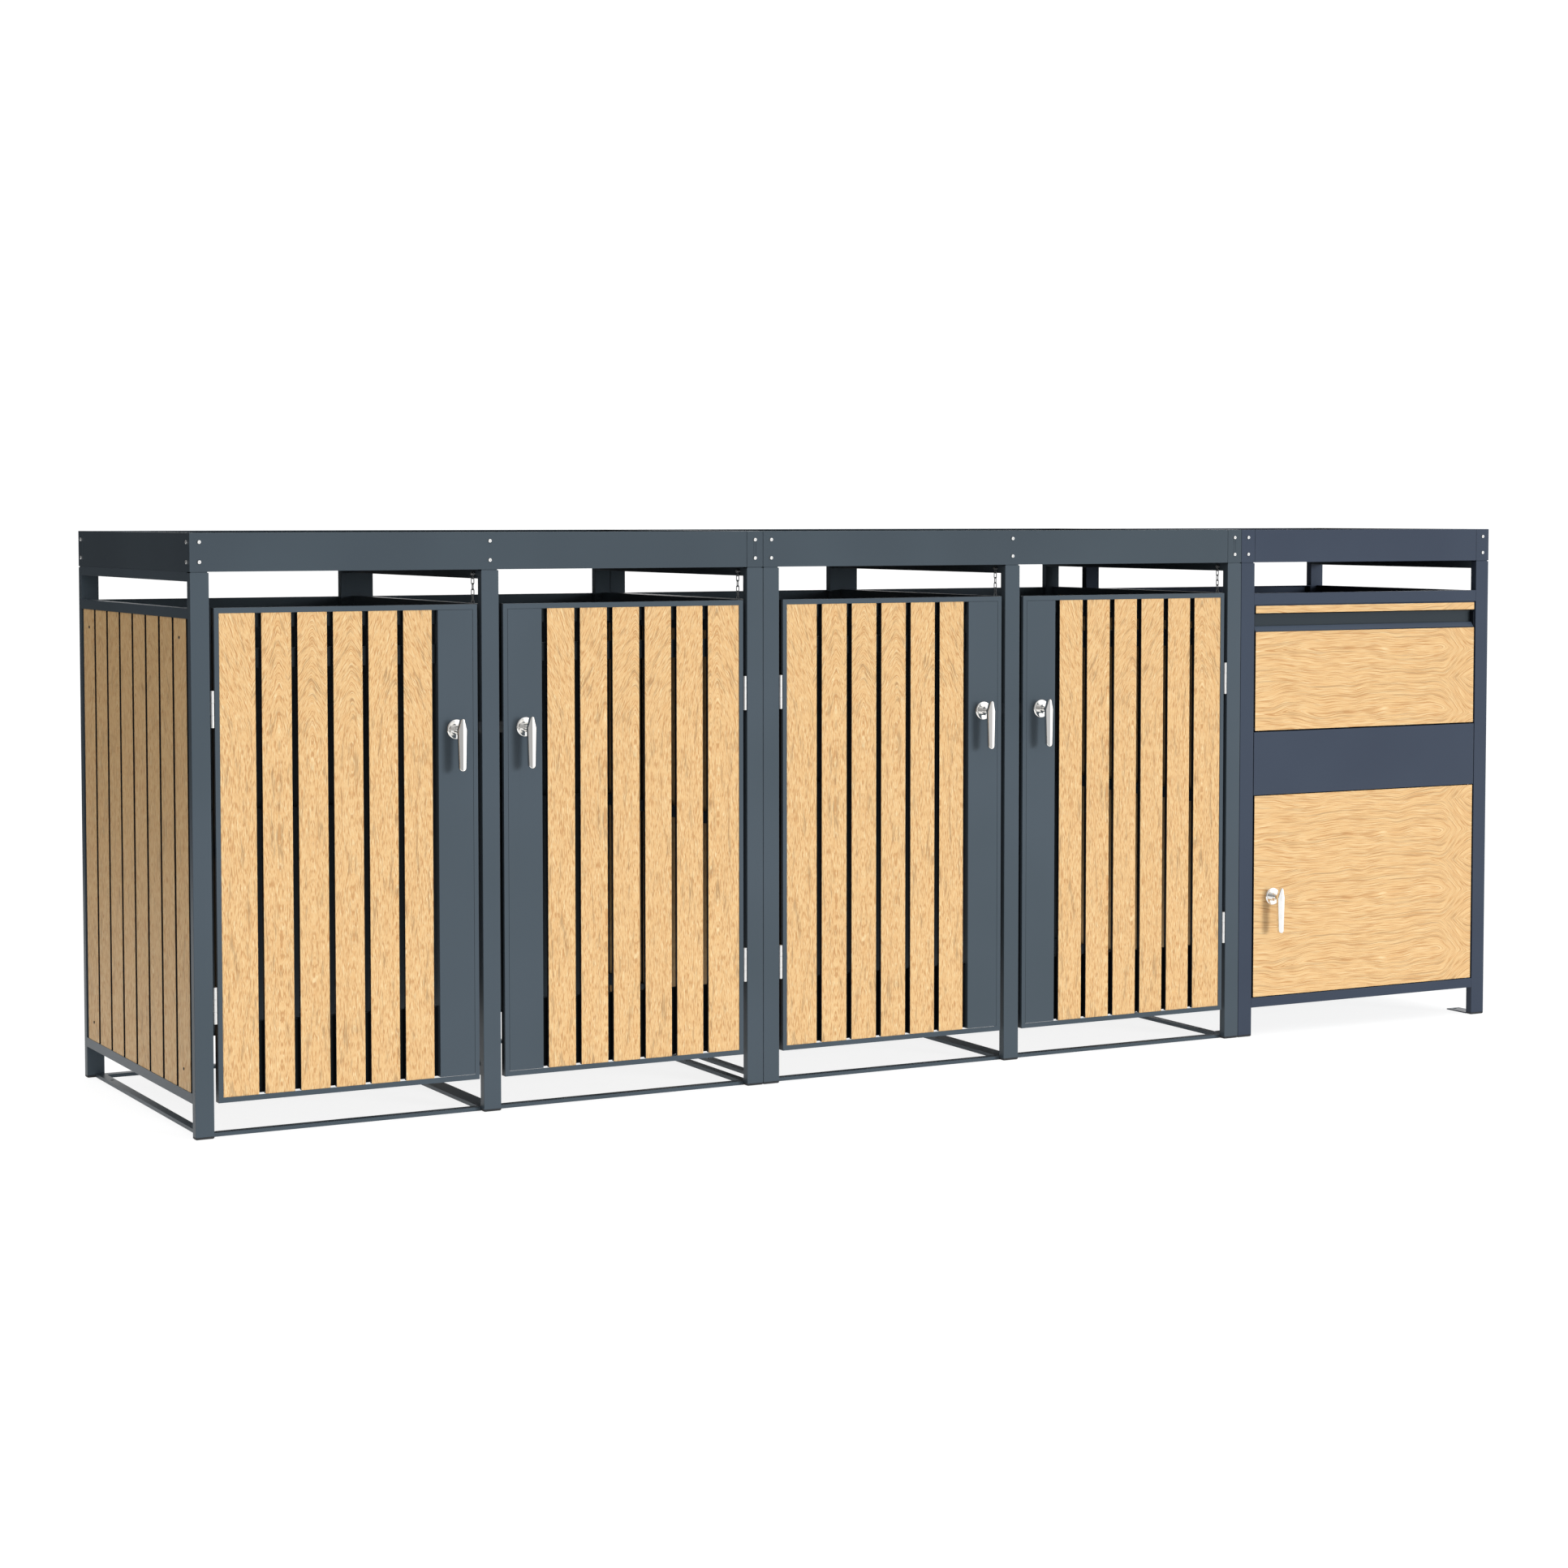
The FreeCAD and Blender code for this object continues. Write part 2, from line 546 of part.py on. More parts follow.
def lever(x, z):
    """The lever hangs down from its spindle. Two facets meet in a soft ridge along its front."""
    def at(dx, dz):
        return V(x + dx, 0, z + dz)

    end_z = -(LEVER_DOWN - LEVER_HALF_END)
    top_z = LEVER_UP - LEVER_HALF_TOP
    edges = [
        Part.LineSegment(at(-LEVER_HALF_MID, 0), at(-LEVER_HALF_END, end_z)),
        Part.Arc(at(-LEVER_HALF_END, end_z), at(0, -LEVER_DOWN), at(LEVER_HALF_END, end_z)),
        Part.LineSegment(at(LEVER_HALF_END, end_z), at(LEVER_HALF_MID, 0)),
        Part.LineSegment(at(LEVER_HALF_MID, 0), at(LEVER_HALF_TOP, top_z)),
        Part.Arc(at(LEVER_HALF_TOP, top_z), at(0, LEVER_UP), at(-LEVER_HALF_TOP, top_z)),
        Part.LineSegment(at(-LEVER_HALF_TOP, top_z), at(-LEVER_HALF_MID, 0)),
    ]
    face = Part.Face(Part.Wire([edge.toShape() for edge in edges]))
    body = face.extrude(V(0, LEVER_T, 0))
    side = LEVER_HALF_MID + 1
    section = [(-side, LEVER_RIDGE), (0, 0), (side, LEVER_RIDGE), (side, LEVER_T), (-side, LEVER_T)]
    corners = [at(dx, -LEVER_DOWN - 1) + V(0, y, 0) for dx, y in section]
    faceted = Part.Face(Part.makePolygon(corners + [corners[0]]))
    body = body.common(faceted.extrude(V(0, 0, LEVER_UP + LEVER_DOWN + 2)))
    front = [edge for edge in body.Edges if edge.BoundBox.YMax < LEVER_T / 2]
    body = body.makeFillet(LEVER_ROUND, front)
    body.translate(V(0, -HANDLE_REACH, 0))
    return body


def handle(x, z, cam_end, cam_side):
    """Lever, spindle and latch cam, as three solids that turn together."""
    back = -HANDLE_REACH + LEVER_T
    neck = rod((x, back, z), (0, 1, 0), SPINDLE_R, -ROSETTE_COLLAR_H - 0.5 - back)
    tail = rod((x, -ROSETTE_COLLAR_H - 0.5, z), (0, 1, 0), SPINDLE_TAIL_R, ROSETTE_COLLAR_H + 0.5 + CAM_Y[1])
    spindle = neck.fuse(tail)
    cam_x = tuple(sorted((x - cam_side * CAM_HALF_H, cam_end)))
    cam = block(cam_x, CAM_Y, (z - CAM_HALF_H, z + CAM_HALF_H))
    cam = cam.cut(rod((x, CAM_Y[0] - 1, z), (0, 1, 0), SPINDLE_TAIL_R, 10))
    return [lever(x, z), spindle, cam]


# ---- lid chains ----
def oval_link(wire_r, bend_r, straight):
    """A chain link that stands in the X-Z plane, centred on the origin."""
    half = straight / 2
    size = bend_r + wire_r + 1
    whole = Part.makeTorus(bend_r, wire_r, V(0, 0, 0), V(0, 1, 0))
    upper = whole.common(block((-size, size), (-size, size), (0, size)))
    lower = whole.common(block((-size, size), (-size, size), (-size, 0)))
    upper.translate(V(0, 0, half))
    lower.translate(V(0, 0, -half))
    link = upper.fuse(lower)
    for x in (-bend_r, bend_r):
        link = link.fuse(rod((x, 0, -half), (0, 0, 1), wire_r, straight))
    return link.removeSplitter()


def lid_chain(rail_face):
    """A chain with an eye on its top link and a clip at its foot, beside the rail that carries it."""
    x = rail_face - CHAIN_FROM_RAIL
    eye = rod((x - CHAIN_EYE_T / 2, CHAIN_Y, CHAIN_Z), (1, 0, 0), CHAIN_EYE_R, CHAIN_EYE_T)
    eye = eye.cut(rod((x - CHAIN_EYE_T, CHAIN_Y, CHAIN_Z), (1, 0, 0), CHAIN_PIN_R + FIT, 2 * CHAIN_EYE_T))
    straight = LINK_PITCH + LINK_SLACK - 2 * (LINK_BEND_R - LINK_WIRE_R)
    base = oval_link(LINK_WIRE_R, LINK_BEND_R, straight)
    ring_z = CHAIN_Z - CHAIN_EYE_R - LINK_BEND_R + LINK_WIRE_R / 2
    solids = [eye.fuse(eyelet(x, ring_z))]
    hang = 2 * LINK_WIRE_R + LINK_SLACK
    first = ring_z - LINK_BEND_R + hang - straight / 2 - LINK_BEND_R
    for index in range(LINKS):
        link = base.copy()
        if index % 2:
            link.rotate(V(0, 0, 0), V(0, 0, 1), 90)
        link.translate(V(x, CHAIN_Y, first - index * LINK_PITCH))
        solids.append(link)
    clip = oval_link(CLIP_WIRE_R, CLIP_BEND_R, CLIP_STRAIGHT)
    clip.rotate(V(0, 0, 0), V(0, 0, 1), 90)
    last = first - (LINKS - 1) * LINK_PITCH
    drop = straight / 2 + LINK_BEND_R + CLIP_STRAIGHT / 2 + CLIP_BEND_R
    clip.translate(V(x, CHAIN_Y, last - drop + LINK_WIRE_R + CLIP_WIRE_R + LINK_SLACK))
    return solids + [clip]


def eyelet(x, z):
    """The small ring under the eye, in the Y-Z plane, that the first link hangs in."""
    return Part.makeTorus(LINK_BEND_R, LINK_WIRE_R, V(x, CHAIN_Y, z), V(1, 0, 0))


def chain_pin(rail_face):
    """The pin on the rail: a thin shank with a head that keeps the eye on."""
    shank = rod((rail_face, CHAIN_Y, CHAIN_Z), (-1, 0, 0), CHAIN_PIN_R, CHAIN_PIN_L)
    head = rod((rail_face - CHAIN_PIN_L, CHAIN_Y, CHAIN_Z), (1, 0, 0), CHAIN_PIN_R + 1.5, 1.5)
    return shank.fuse(head)


def strike_plate(bay_w):
    z = HANDLE_Z + STRIKE_ABOVE
    return block((bay_w - STRIKE_T, bay_w), STRIKE_Y, (z - STRIKE_HALF_H, z + STRIKE_HALF_H))


def bin_bay(number, post_face, side, rail_face):
    """One door with its handle, hinges and lid chain."""
    door = f"door_{number}"
    add(f"{door}_frame", [to_bay(solid, post_face, side) for solid in door_frame()])
    add(f"{door}_slats", [to_bay(solid, post_face, side) for solid in door_slats()])
    add(f"{door}_lock_panel", [to_bay(solid, post_face, side) for solid in lock_panel()])
    add(f"{door}_rosette", [to_bay(rosette(HANDLE_X, HANDLE_Z), post_face, side)])
    for level in HINGE_LEVELS:
        add(f"{door}_hinge_leaves", [to_bay(hinge_half(level, True), post_face, side)])
        add("post_hinge_leaves", [to_bay(hinge_half(level, False), post_face, side)])
        add("hinge_pins", [to_bay(hinge_pin(level), post_face, side)])
    bay_w = 2 * DOOR_GAP + DOOR_W
    add("front_posts", [to_bay(strike_plate(bay_w), post_face, side)])
    parts = handle(HANDLE_X, HANDLE_Z, bay_w - CAM_SHORT, 1)
    add(f"handle_{number}", [to_bay(solid, post_face, side) for solid in parts])
    add(f"lid_chain_{number}", lid_chain(rail_face))
    add("chain_pins", [chain_pin(rail_face)])


# ---- parcel unit ----
def parcel_frame():
    posts_x = (PARCEL_X, INNER[1])
    bolts = []
    for x in posts_x:
        bolts += [(x + POST_W / 2, 0, z, (0, -1, 0)) for z in BOLT_LEVELS]
        bolts += [(x + POST_W / 2, PARCEL_DEPTH, z, (0, 1, 0)) for z in BOLT_LEVELS]
    right = PARCEL_X + PARCEL_W
    for y in (POST_D + 1, PARCEL_DEPTH - POST_D - 1):
        bolts += [(right, y, z, (1, 0, 0)) for z in BOLT_LEVELS]
    holes = bolt_holes(bolts)
    add("fascia_bolts", [bolt(*item) for item in bolts])
    for x, corner in zip(posts_x, (-1, 1)):
        for y, wall, inward in ((0, 0, 1), (PARCEL_DEPTH - POST_D, PARCEL_DEPTH, -1)):
            add("parcel_posts", [post(x, y), drilled(spigot(x, wall, inward, corner), holes)])
            add("foot_caps", [foot_cap(x, y)])
            low = y + POST_D if inward > 0 else y - FOOT_PLATE_L
            hole_y = wall + inward * (POST_D + FOOT_PLATE_HOLE)
            plate = block((x, x + POST_W), (low, low + FOOT_PLATE_L), (0, FOOT_PLATE_T))
            hole = ((x + POST_W / 2, hole_y, -1), (0, 0, 1), ANCHOR_R, FOOT_PLATE_T + 2)
            add("parcel_foot_plates", [drilled(plate, [hole])])
    boards, caps = fascia(PARCEL_X, PARCEL_W, PARCEL_DEPTH, ("front_left", "front_right"))
    add("parcel_fascia", [drilled(piece, holes) for piece in boards + caps])
    add("roof_trays", roof_tray(PARCEL_X, PARCEL_W, PARCEL_DEPTH))
    rail_z = (TOP_RAIL_Z, TOP_RAIL_Z + TOP_RAIL_H)
    rail_y = (POST_D, PARCEL_DEPTH - POST_D)
    add("top_rails", [tube((x, x + POST_W), rail_y, rail_z, 1) for x in posts_x])


def parcel_case():
    """Outer panels, inner liner, recessed cover and the fixed pieces across the front."""
    y = (POST_D, PARCEL_DEPTH - POST_D)
    z = (RAIL_BOTTOM[0], CASE_TOP - SHEET)
    right = PARCEL_X + PARCEL_W
    rear_y = (PARCEL_DEPTH - REAR_SET - PAN_D, PARCEL_DEPTH - REAR_SET)
    add("parcel_outer_panels", [
        pan((PARCEL_X + REAR_SET, PARCEL_X + REAR_SET + PAN_D), y, z, (0, 1)),
        pan((right - REAR_SET - PAN_D, right - REAR_SET), y, z, (0, 0)),
        pan(INNER, rear_y, z, (1, 0)),
    ])
    cover_x = (PARCEL_X + REAR_SET + PAN_D, right - REAR_SET - PAN_D)
    cover_z = (RAIL_TOP[0], RAIL_TOP[0] + SHEET)
    add("parcel_outer_panels", [block(cover_x, y, cover_z)])
    liner_x = ((INNER[0], INNER[0] + SHEET), (INNER[1] - SHEET, INNER[1]))
    floor_x = (liner_x[0][1], liner_x[1][0])
    add("parcel_liner", [block(x, y, (z[0], cover_z[0])) for x in liner_x])
    add("parcel_liner", [block(floor_x, y, (z[0], z[0] + SHEET))])
    add("parcel_front_rails", [tube(INNER, (0, POST_D), rail, 0) for rail in (RAIL_BOTTOM, RAIL_TOP)])
    panel_x = (INNER[0] + 2, INNER[1] - 2)
    add("parcel_mid_panel", [pan(panel_x, (0, MID_PANEL_D), MID_PANEL_Z, (1, 1))])
    add("parcel_header_strip", [block(FACE, (0, BOARD_T), STRIP_Z)])
    add("parcel_front_rails", [tube(INNER, (BOARD_T, STRIP_BACK_D), (STRIP_Z[0] + 1, RAIL_TOP[0]), 0)])
    pin_x = FACE[1] - PARCEL_PIN[0]
    pivot_y, pivot_z = HOPPER_PIVOT
    pin_l = CHEEK_GAP + SHEET - 0.3
    add("parcel_pivot_pins", [
        rod((pin_x, PARCEL_PIN[1], RAIL_BOTTOM[1]), (0, 0, 1), PARCEL_PIN_R, PARCEL_PIN_L),
        rod((pin_x, PARCEL_PIN[1], MID_PANEL_Z[0]), (0, 0, -1), PARCEL_PIN_R, PARCEL_PIN_L),
        rod((INNER[0], pivot_y, pivot_z), (1, 0, 0), HOPPER_PIN_R, pin_l),
        rod((INNER[1], pivot_y, pivot_z), (-1, 0, 0), HOPPER_PIN_R, pin_l),
    ])


def parcel_door():
    z = DOOR_Z
    tray_y = (BOARD_T, BOARD_T + TRAY_T)
    tray = pan(FACE, tray_y, z, (1, 1))
    pin_x = FACE[1] - PARCEL_PIN[0]
    boss_x = (pin_x - 7, FACE[1] - SHEET)
    bore_l = PARCEL_PIN_L + 1
    for low in (z[0], z[1] - bore_l):
        tray = tray.fuse(block(boss_x, (tray_y[0] + SHEET, tray_y[1]), (low, low + bore_l)))
        tray = tray.cut(rod((pin_x, PARCEL_PIN[1], low - 1), (0, 0, 1), PARCEL_PIN_R + FIT, bore_l + 2))
    handle_x = FACE[0] + PARCEL_HANDLE_IN
    hole = ((handle_x, -1, PARCEL_HANDLE_Z), (0, 1, 0), PANEL_HOLE_R, 10.0)
    add("parcel_door_tray", [drilled(tray, [hole])])
    add("parcel_door_board", [drilled(block(FACE, (0, BOARD_T), z), [hole])])
    add("parcel_door_rosette", [rosette(handle_x, PARCEL_HANDLE_Z)])
    add("handle_5", handle(handle_x, PARCEL_HANDLE_Z, handle_x - PARCEL_CAM, -1))


def hopper():
    """The tilting drop-in hopper: faced front, cheeks that turn on the pivot pins, shelf and grip."""
    pivot_y, pivot_z = HOPPER_PIVOT
    cheeks_x = ((INNER[0] + CHEEK_GAP, INNER[0] + CHEEK_GAP + SHEET),
                (INNER[1] - CHEEK_GAP - SHEET, INNER[1] - CHEEK_GAP))
    inside = (cheeks_x[0][1], cheeks_x[1][0])
    steps = 12
    sweep = 90.0 + HOPPER_SHELF_DEG
    rim = []
    for step in range(steps + 1):
        angle = math.radians(90.0 - sweep * step / steps)
        rim.append((pivot_y + HOPPER_CHEEK_R * math.cos(angle), pivot_z + HOPPER_CHEEK_R * math.sin(angle)))
    front = [(BOARD_T, pivot_z + HOPPER_CHEEK_R), (BOARD_T, HOPPER_Z[0] + 1), (pivot_y + 3, HOPPER_Z[0] + 1)]
    for x in cheeks_x:
        cheek = outline(rim + front[::-1], x)
        cheek = cheek.fuse(rod((x[0], pivot_y, pivot_z), (1, 0, 0), HOPPER_BOSS_R, SHEET))
        cheek = cheek.cut(rod((x[0] - 1, pivot_y, pivot_z), (1, 0, 0), HOPPER_PIN_R + FIT, SHEET + 2))
        add("hopper_shell", [cheek])
    shelf = block(inside, HOPPER_SHELF, (-SHEET, 0))
    shelf.rotate(V(0, 0, 0), V(1, 0, 0), -HOPPER_SHELF_DEG)
    shelf.translate(V(0, pivot_y, pivot_z))
    add("hopper_shell", [
        block(inside, (BOARD_T, BOARD_T + SHEET), (HOPPER_Z[0] + 1, HOPPER_Z[1])),
        shelf,
    ])
    add("hopper_board", [block(FACE, (0, BOARD_T), HOPPER_Z)])
    low, high = GRIP_Z
    lip_foot = (SHEET, low + SHEET)
    lip_top = (SHEET + GRIP_LIP_BACK, low + GRIP_LIP_H)
    lip = [lip_foot, (lip_foot[0] + SHEET, lip_foot[1]), (lip_top[0] + SHEET, lip_top[1]), lip_top]
    add("hopper_grip", [
        block(FACE, (GRIP_D - SHEET, GRIP_D), (low + SHEET, high)),
        block(FACE, (SHEET, GRIP_D), (low, low + SHEET)),
        outline(lip, FACE),
    ])


def main():
    for unit, x0 in enumerate(TWIN_X):
        bin_unit(x0, unit == 0, False)
        middle = x0 + BAY_MID - POST_W / 2
        right = x0 + TWIN_W - POST_W
        bin_bay(2 * unit + 1, x0 + POST_W, 1, middle)
        bin_bay(2 * unit + 2, right, -1, right)
    parcel_frame()
    parcel_case()
    parcel_door()
    hopper()
    os.makedirs("parts", exist_ok=True)
    for name, solids in NODES.items():
        node = place(Part.makeCompound(solids))
        node.exportStep(f"parts/{name}.step")
    print(f"{len(NODES)} nodes; the footprint's centre is at X {MID_X}, Y {MID_Y} in the working frame")


main()
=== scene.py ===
import bmesh
import bpy
import math
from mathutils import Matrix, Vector


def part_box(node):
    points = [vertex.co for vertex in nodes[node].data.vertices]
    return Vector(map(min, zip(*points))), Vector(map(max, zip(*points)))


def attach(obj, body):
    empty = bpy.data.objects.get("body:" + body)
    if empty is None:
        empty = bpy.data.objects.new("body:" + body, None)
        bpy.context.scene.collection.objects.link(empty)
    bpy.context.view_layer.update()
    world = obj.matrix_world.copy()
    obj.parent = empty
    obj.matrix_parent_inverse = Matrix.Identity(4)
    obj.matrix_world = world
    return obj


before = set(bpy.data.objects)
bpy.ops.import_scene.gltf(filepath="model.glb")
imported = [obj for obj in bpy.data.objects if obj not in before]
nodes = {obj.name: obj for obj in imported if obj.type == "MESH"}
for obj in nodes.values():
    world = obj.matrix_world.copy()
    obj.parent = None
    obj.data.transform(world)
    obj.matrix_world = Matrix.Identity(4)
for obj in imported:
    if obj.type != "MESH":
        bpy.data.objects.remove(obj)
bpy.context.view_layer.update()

# Looks of the bin and parcel station. Lengths are metres in the row frame: X runs along the row, the
# doors face -Y, and Z is up from the ground.

MM = 0.001
X, Y, Z = 0, 1, 2                  # numbers of the axes
BAYS = (1, 2, 3, 4)
DOOR_BOARDS = 6
DOOR_BOARD_PITCH = 79.6 * MM       # from one door board to the next
SIDE_BOARDS = 8
SIDE_BOARD_GAP = 12.6 * MM
SHEET_REPEAT = 155 * MM            # the figure of the veneered sheets repeats at this height
DOOR_FACE_DEPTH = 9 * MM           # how far back the door frames keep their own colour; further back, on the battens, is painted shade
GRIP_LIP_DEPTH = 11 * MM           # how far back the grip's sloped lip goes; behind it the back plate carries painted shade
FRAME_EDGE = 0.7 * MM              # widths of the softened edges
PANEL_EDGE = 0.5 * MM
DOOR_BOARD_EDGE = 1.0 * MM
SIDE_BOARD_EDGE = 0.5 * MM
SHEET_EDGE = 0.4 * MM
SHARP_FROM = 35                    # degrees: edges that turn more than this are softened
WELD_WITHIN = 0.02 * MM
# radius and height above the board, in millimetres, from the middle of a screw's head outwards and down
SCREW_PROFILE = ((0.0, 1.5), (2.2, 1.35), (3.0, 0.9), (3.4, 0.0), (3.4, -1.0))
SCREW_INWARD = 4 * MM              # from the middle of its board towards the middle of the wall
SCREW_UP = 43 * MM                 # above the foot of its board
SCREW_DOWN = 40 * MM               # below the top of its board
SCREW_STEPS = 20

# ---- camera and light ----
CAMERA_AT = (-3.63309, -6.55039, 1.28704)
CAMERA_TILT = 86.87          # degrees up from looking straight down
CAMERA_TURN = -28.53         # degrees round from looking along +Y
CAMERA_LENS = 71.24
CAMERA_SHIFT = (-0.01254, -0.06363)
FULL_LIGHT = 2.0             # light on a front face, where 1 shows white paper as the picture's white
SIDE_LIGHT = 1.8             # less is reckoned with for the end wall's boards, so their oak is painted lighter than the doors': painted light on the shaded end wall
SHEET_LIGHT = 1.95           # a little less is reckoned with for the veneered sheets, so they are a little lighter
KEY_STRENGTH = 3.75
KEY_TURN = 29.0              # degrees that the key light stands to the right of the doors' normal
KEY_UP = 7.0                 # degrees above the horizon
KEY_SPREAD = 17.0            # width of the key light's disc, in degrees
KEY_COLOUR = (0.97, 0.985, 1.0)
KEY_DISTANCE = 8.0
RIGHT_WAY = (0.85, -0.50, -0.10)   # towards the key light's side of the surroundings
SKY_RIGHT = 0.65             # surroundings on the front right
SKY_LEFT = 0.90              # surroundings on the left
SKY_ABOVE = 1.2              # added straight overhead
GLOSS_LEFT = 0.30            # what glossy surfaces reflect from the left
GLOSS_RIGHT = 1.7            # and from the right
DARK_WAY = (-0.75, 0.66, 0.0)      # towards the dark screen behind and to the left
SCREEN_LIGHT = 0.08          # share of the light that the dark screen gives
BACKDROP = 1.1               # the surroundings as the camera sees them, a little past white
FLOOR_SIZE = 7.0
FLOOR_TONES = ((0.15, 0.15, 0.15, 1.0), (0.17, 0.17, 0.17, 1.0))
FLOOR_GLOW = 0.86            # lifts the floor towards white, so that shadows on it stay faint


def linear(value):
    """One sRGB channel, 0 to 255, as linear light."""
    share = value / 255
    return share / 12.92 if share <= 0.04045 else ((share + 0.055) / 1.055) ** 2.4


def seen(red, green, blue, light=FULL_LIGHT):
    """The surface colour that looks like this sRGB colour where key and fill light both reach it."""
    return tuple(linear(value) / light for value in (red, green, blue)) + (1.0,)


# ---- node helpers ----
def new_node(tree, kind, links=(), **settings):
    """Adds a node; links is a list of (input, socket or value)."""
    made = tree.nodes.new(kind)
    for name, value in settings.items():
        setattr(made, name, value)
    for key, value in links:
        if isinstance(value, bpy.types.NodeSocket):
            tree.links.new(value, made.inputs[key])
        else:
            made.inputs[key].default_value = value
    return made


def maths(tree, operation, *values):
    made = new_node(tree, "ShaderNodeMath", list(enumerate(values)), operation=operation)
    return made.outputs[0]


def noise(tree, vector, scale, detail):
    links = [("Vector", vector), ("Scale", scale), ("Detail", detail)]
    return new_node(tree, "ShaderNodeTexNoise", links).outputs["Fac"]


def combine(tree, x, y, z):
    return new_node(tree, "ShaderNodeCombineXYZ", [("X", x), ("Y", y), ("Z", z)]).outputs[0]


def spread(tree, value, low, high, to_low=0.0, to_high=1.0):
    """Maps low..high to to_low..to_high, clamped at both ends."""
    links = [("Value", value), ("From Min", low), ("From Max", high), ("To Min", to_low), ("To Max", to_high)]
    return new_node(tree, "ShaderNodeMapRange", links, interpolation_type="SMOOTHSTEP").outputs[0]


def mix(tree, share, first, second):
    """Mixes two colours; a share of 1 gives the second."""
    made = new_node(tree, "ShaderNodeMix", [("Factor", share)], data_type="RGBA")
    for socket, value in (("A", first), ("B", second)):
        target = [item for item in made.inputs if item.name == socket and item.type == "RGBA"][0]
        if isinstance(value, bpy.types.NodeSocket):
            tree.links.new(value, target)
        else:
            target.default_value = value
    return [item for item in made.outputs if item.type == "RGBA"][0]


def bump(tree, height, distance):
    return new_node(tree, "ShaderNodeBump", [("Height", height), ("Distance", distance)]).outputs[0]


def new_material(name, **inputs):
    """A material with a Principled shader; inputs are its constant sockets, with _ for spaces."""
    material = bpy.data.materials.new(name)
    material.use_nodes = True
    shader = material.node_tree.nodes["Principled BSDF"]
    for key, value in inputs.items():
        shader.inputs[key.replace("_", " ")].default_value = value
    return material, material.node_tree, shader


def object_place(tree):
    return new_node(tree, "ShaderNodeTexCoord").outputs["Object"]


# ---- materials ----
COOL_GLOSS = (0.76, 0.92, 1.0, 1.0)    # tint of the gloss on anthracite steel
BLUE_GLOSS = (0.70, 0.82, 1.0, 1.0)    # and on the bluer steel of the parcel unit
ANTHRACITE = (seen(78, 88, 97), seen(74, 84, 92), COOL_GLOSS)
# painted shade: the fascia is a darker copy of the anthracite steel, for the shade along the top of the row
FASCIA = (seen(72, 82, 90), seen(68, 77, 85), COOL_GLOSS)
PARCEL = (seen(63, 72, 87), seen(59, 67, 82), BLUE_GLOSS)
# painted light: the grip's sloped lip is a lighter copy of the parcel steel, for the light it catches from
# above
GRIP = (seen(66, 77, 92), seen(62, 72, 87), BLUE_GLOSS)
# painted shade: near-black for the parcel door's tray and the hopper's shell, which sit in the shade of the
# joints
INNER_PAINTED_SHADE = (seen(30, 34, 42), seen(27, 31, 38), BLUE_GLOSS)
# painted shade: near-black for the door frames' battens, set back behind the boards
PAINTED_RECESS_SHADE = seen(16, 20, 24)
# painted shade: the grip's back plate, deep in its recess, is darker than the parcel steel
GRIP_BACK = seen(50, 57, 61)
EDGE_STAIN = seen(16, 19, 24)          # edges of the boards
HEART_ROUND = 0.003          # how softly the rings turn at the heart line, in metres
ARCHES = (0.80, 1.14)        # heights between which the grain of the boards draws together in arches


def powder_coat(name, colour, shade, tint, inner_from=None, inner=PAINTED_RECESS_SHADE):
    """Satin powder-coated steel with a fine orange-peel surface.

    What lies further back than inner_from, along Y, has the inner colour, a painted shade for faces set back
    in a recess.
    """
    material, tree, shader = new_material(name, Specular_IOR_Level=0.22, Specular_Tint=tint)
    place = object_place(tree)
    cloud = noise(tree, place, 2.5, 2.0)
    speckle = noise(tree, place, 1400.0, 1.0)
    tone = mix(tree, spread(tree, cloud, 0.3, 0.7), colour, shade)
    tone = mix(tree, spread(tree, speckle, 0.35, 0.75, 0.0, 0.35), tone, shade)
    # painted shade: faces set back past inner_from take the inner colour
    if inner_from is not None:
        back = new_node(tree, "ShaderNodeSeparateXYZ", [(0, place)]).outputs[Y]
        tone = mix(tree, spread(tree, back, inner_from, inner_from + MM), tone, inner)
    tree.links.new(tone, shader.inputs["Base Color"])
    tree.links.new(spread(tree, cloud, 0.2, 0.8, 0.32, 0.40), shader.inputs["Roughness"])
    peel = noise(tree, place, 420.0, 2.0)
    tree.links.new(bump(tree, peel, 0.00004), shader.inputs["Normal"])
    return material


def board_seeds(tree, from_start, pitch, count):
    """Number of the board at this place, and three random draws for it."""
    step = maths(tree, "FLOOR", maths(tree, "DIVIDE", from_start, pitch))
    board = maths(tree, "MINIMUM", maths(tree, "MAXIMUM", step, 0.0), count - 1.0)
    seeds = new_node(tree, "ShaderNodeTexWhiteNoise", [("W", board)], noise_dimensions="1D")
    return board, new_node(tree, "ShaderNodeSeparateColor", [(0, seeds.outputs["Color"])]).outputs


